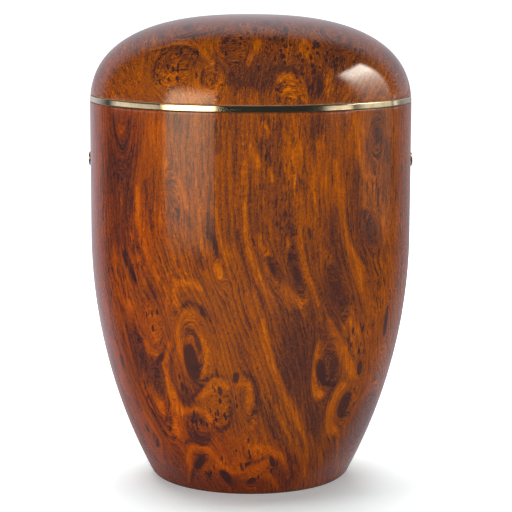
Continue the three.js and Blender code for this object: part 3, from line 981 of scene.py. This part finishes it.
def lid(burl, fibre):
    profile = lid_profile()
    piece = turned("urn_lid", profile, AROUND, closed=False)
    x, y, z = vectors(piece.data.vertices, "co").T / MM
    radius = np.hypot(x, y)

    # Distance over the dome from its top, so that the figure isn't squeezed at the steep edge
    dome = np.array(profile[::-1])[:DOME_STEPS + 2]
    steps = np.hypot(*np.diff(dome, axis=0).T)
    walked = np.concatenate([[0], np.cumsum(steps)])
    drop = LID_TOP - dome[:, 1]
    length = np.interp(LID_TOP - z, drop, walked)
    unit = np.stack([x, y]) / np.maximum(radius, 1e-9)
    across, along = unit * length
    figure = joined(LID_FIGURE, scattered(11, 22, (-95, 95), (-10, 95), None))
    paint_burl(piece.data, across, along, lid_course, None, figure)
    rebate_top = band_high.z + GAP

    # Burl above the strip, on the faces that point out, and bare fibre on those that point in or down
    def chooser(centres, normals):
        outer = (centres[:, 2] > rebate_top) & ((centres * normals).sum(1) > 0) & (normals[:, 2] > -0.99)
        inside = (centres[:, :2] * normals[:, :2]).sum(1) - 0.1 + normals[:, 2] * 5 < 0
        return np.where(outer & ~inside, 0, 1)

    assign(piece, [burl, fibre], chooser)
    return piece


def band(brass):
    piece = turned("seam_band", band_profile(), BAND_AROUND, closed=True)
    piece.data.materials.append(brass)
    return piece


def eyelet(name, side, brass):
    piece = turned(name, eyelet_profile(), EYELET_AROUND, closed=True)
    lie = Matrix.Rotation(side * math.pi / 2, 4, "Y")
    place = Matrix.Translation((side * wall_at_eyelet() * MM, 0, EYELET_HEIGHT * MM))
    piece.data.transform(place @ lie)
    piece.data.materials.append(brass)
    return piece


def build():
    burl = burl_material()
    brass = brass_material()
    fibre = fibre_material()
    made = [
        (vessel(burl, fibre, underside_material()), "urn_body", "burl_finish"),
        (lid(burl, fibre), "lid", "burl_finish"),
        (band(brass), "brass_strip", "polished_brass"),
        (eyelet("eyelet_ring_left", -1, brass), "eyelet_left", "polished_brass"),
        (eyelet("eyelet_ring_right", 1, brass), "eyelet_right", "polished_brass"),
    ]
    for piece, node, slot in made:
        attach(piece, "root")
        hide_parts(node)
    return [piece for piece, _, _ in made]


# Camera and studio

CAMERA_PLACE = (3.53, -1339.2, 337.2)
CAMERA_PITCH = 0.1466  # radians below the horizon
CAMERA_ROLL = 0.0025
FOCAL_PIXELS = 2148.7
FRAME_PIXELS = 512
SENSOR = 36.0
FLOOR_SIZE = 80


def camera():
    data = bpy.data.cameras.new("camera")
    data.sensor_width = SENSOR
    data.lens = SENSOR * FOCAL_PIXELS / FRAME_PIXELS
    data.clip_start = 0.05
    data.clip_end = 50
    made = add_object("camera", data)
    pitch = Matrix.Rotation(math.pi / 2 - CAMERA_PITCH, 4, "X")
    roll = Matrix.Rotation(CAMERA_ROLL, 4, "Z")
    made.matrix_world = Matrix.Translation([c * MM for c in CAMERA_PLACE]) @ pitch @ roll
    bpy.context.scene.camera = made


def facing(azimuth, distance, height, target_height):
    """A matrix at an azimuth from the front, in degrees to the right, that looks at the urn's axis."""
    a = math.radians(azimuth)
    place = Matrix.Translation((math.sin(a) * distance, -math.cos(a) * distance, height))
    tilt = math.atan2(target_height - height, distance)
    return place @ Matrix.Rotation(a, 4, "Z") @ Matrix.Rotation(math.pi / 2 + tilt, 4, "X")


def softbox(name, azimuth, distance, size, height, colour, profile):
    """A glowing panel whose light falls off towards its edges. profile(n, across, up) gives its strength from
    the panel's own coordinates, which run from -1 to 1."""
    panel = plate(name, *size)
    panel.matrix_world = facing(azimuth, distance, height, height)
    n = Nodes(name + "_glow")
    place = n.add("ShaderNodeTexCoord", {}, "Object")
    across = n.math("DIVIDE", n.split(place, 0), size[0] / 2)
    up = n.math("DIVIDE", n.split(place, 1), size[1] / 2)
    strength = profile(n, across, up)
    glow = n.add("ShaderNodeEmission", {"Color": (*colour, 1), "Strength": strength})
    back = n.add("ShaderNodeNewGeometry", {}, "Backfacing")
    dark = n.add("ShaderNodeBsdfTransparent", {})
    n.surface(back, dark, glow)
    panel.data.materials.append(n.material)
    panel.visible_camera = False
    panel.visible_shadow = False
    panel.visible_diffuse = False


def fill(name, azimuth, distance, height, size, power, lights, target_height=0.14):
    """A large soft lamp for a collection of objects, which isn't mirrored in them."""
    lamp = bpy.data.lights.new(name, "AREA")
    lamp.shape = "RECTANGLE"
    lamp.size, lamp.size_y = size
    lamp.energy = power
    made = add_object(name, lamp)
    made.matrix_world = facing(azimuth, distance, height, target_height)
    made.light_linking.receiver_collection = lights
    made.visible_glossy = False
    made.visible_camera = False


def gathering(name, members):
    """A collection that names what a lamp lights."""
    made = bpy.data.collections.new(name)
    for member in members:
        made.objects.link(member)
    return made


def far_sides(n, aside):
    """The glow that the band mirrors from far off on both sides, by how far it lies to the right."""
    return n.total(n.rise(aside, 0.76, 0.86, 0, 1.5), n.rise(aside, -0.95, -0.87, 0.8, 0))


def floor():
    """A white floor that keeps the urn's soft shadow from its lamp, and glows where it is far from the urn.
    Its glow is weaker near the urn, which darkens the ground round the foot as painted shade. Mirrored rays
    see a painted reflection instead.
    """
    made = plate("floor", FLOOR_SIZE, FLOOR_SIZE)
    n = Nodes("pale_floor_painted_glow_and_shade")
    mottle = n.noise(n.position(), 60, 2)
    place = n.add("ShaderNodeTexCoord", {}, "Object")
    away = n.add("ShaderNodeVectorMath", {0: place}, 1, operation="LENGTH")
    # Painted shade: the floor glows less near the urn than far off, so the ground round the foot is darker,
    # on top of the shadow its lamp casts
    n.finish(
        Base_Color=n.ramp(mottle, [(0.3, (232, 237, 238)), (0.7, (238, 243, 244))]),
        Roughness=0.9,
        Specular_IOR_Level=0.0,
        Emission_Color=(0.96, 1, 1, 1),
        Emission_Strength=n.rise(away, 0.1, 0.6, 0.36, 1.2),
    )

    # What is mirrored of it is a painted reflection: a glow that only mirrored rays see. It is darkest in
    # front of the urn, and brightest behind it and at the far sides, with painted shade right at the foot.
    # The glow behind reaches round to the sides near the foot, as it is measured from 10 cm in front of the
    # axis.
    back = n.math("DIVIDE", n.total(n.split(place, 1), 0.10), away)
    rear = n.rise(back, 0.47, 0.93)
    aside = n.math("DIVIDE", n.split(place, 0), away)
    rear = n.product(rear, n.rise(aside, -0.3, 0.3, n.rise(away, 0.05, 0.45, 0.22, 0.64), 0.36))
    near = n.rise(away, 0.2, 0.6, 0.075, 0.015)
    sides = n.product(far_sides(n, aside), n.rise(away, 3.0, 4.5))
    level = n.total(near, n.total(rear, sides))
    # Painted shade in reflections: the mirrored glow goes dark close round the foot
    level = n.product(level, n.rise(away, 0.052, 0.075))
    glow = n.add("ShaderNodeEmission", {"Color": (0.96, 0.93, 1.06, 1), "Strength": level})
    mirrored = n.add("ShaderNodeLightPath", {}, "Is Glossy Ray")
    n.surface(mirrored, n.shader.outputs[0], glow)
    made.data.materials.append(n.material)
    return made


def studio(pieces):
    # The left panel is brightest just above its middle, and the right one near its top
    def left(n, across, up):
        side = n.product(n.rise(across, -0.95, -0.5), n.rise(across, 0.3, 1, 1, 0.6))
        side = n.product(side, n.rise(across, 0.9, 1, 1, 0))
        level = n.product(n.rise(up, -1.0, 0.15), n.rise(up, 0.25, 1, 1, 0))
        return n.product(n.product(side, level), 6.1)

    def right(n, across, up):
        side = n.product(n.rise(across, -1, -0.3), n.rise(across, 0.7, 1, 1, 0))
        level = n.math("EXPONENT", n.math("MINIMUM", n.raised(up, 2.71, 0.72), 2.3))
        level = n.product(level, n.rise(up, 0.85, 1, 1, 0))
        return n.product(side, level)

    softbox("left_softbox", -44, 1.2, (0.92, 1.2), 0.38, (1, 0.80, 0.56), left)
    softbox("right_softbox", 96, 1.2, (1.0, 1.44), 0.62, (1.3, 1.2, 1.05), right)
    urn = gathering("lit_pieces", pieces)
    fill("front_fill", 0, 1.6, 0.7, (1.4, 1.2), 3.9, urn)
    fill("left_fill", -60, 1.5, 0.6, (1.2, 1.2), 11, urn)
    fill("right_fill", 90, 1.5, 0.6, (1.2, 1.2), 10, urn)
    fill("back_fill", 180, 1.6, 0.7, (1.4, 1.2), 10, urn)
    fill("top_fill", 0, 0.5, 1.5, (1.2, 1.2), 16, urn)
    fill("foot_fill", 0, 0.38, 0.03, (0.5, 0.05), 0.4, urn, 0.03)
    fill("floor_light", 196, 0.31, 1.3, (1.4, 1.4), 36, gathering("lit_floor", [floor()]), 0.0)

    # White to the camera. Mirrored, it glows behind the urn but not overhead, and is warm low at both sides.
    world = bpy.data.worlds.new("studio")
    bpy.context.scene.world = world
    world.use_nodes = True
    tree = world.node_tree
    n = Nodes.__new__(Nodes)
    n.tree = tree
    direction = n.add("ShaderNodeTexCoord", {}, "Generated")
    behind = n.rise(n.split(direction, 1), 0.5, 0.78)
    level = n.rise(n.split(direction, 2), 0.60, 0.91, 1, 0)
    mirrored = n.raised(n.product(behind, level), 0.53, 0.02)
    low = n.rise(n.split(direction, 2), 0.04, 0.10, 1, 0)
    warm = n.product(far_sides(n, n.split(direction, 0)), low)
    mirrored = n.total(mirrored, warm)
    seen = n.add("ShaderNodeLightPath", {}, "Is Camera Ray")
    strength = n.math("MAXIMUM", n.product(seen, 1.1), mirrored)
    n.set(tree.nodes["Background"].inputs["Strength"], strength)
    colour = n.mix(n.math("MINIMUM", warm, 1), (0.97, 0.95, 1.06, 1), (1.05, 0.90, 0.72, 1))
    n.set(tree.nodes["Background"].inputs["Color"], colour)


def main():
    bpy.context.scene.view_settings.view_transform = "Standard"
    camera()
    studio(build())


main()
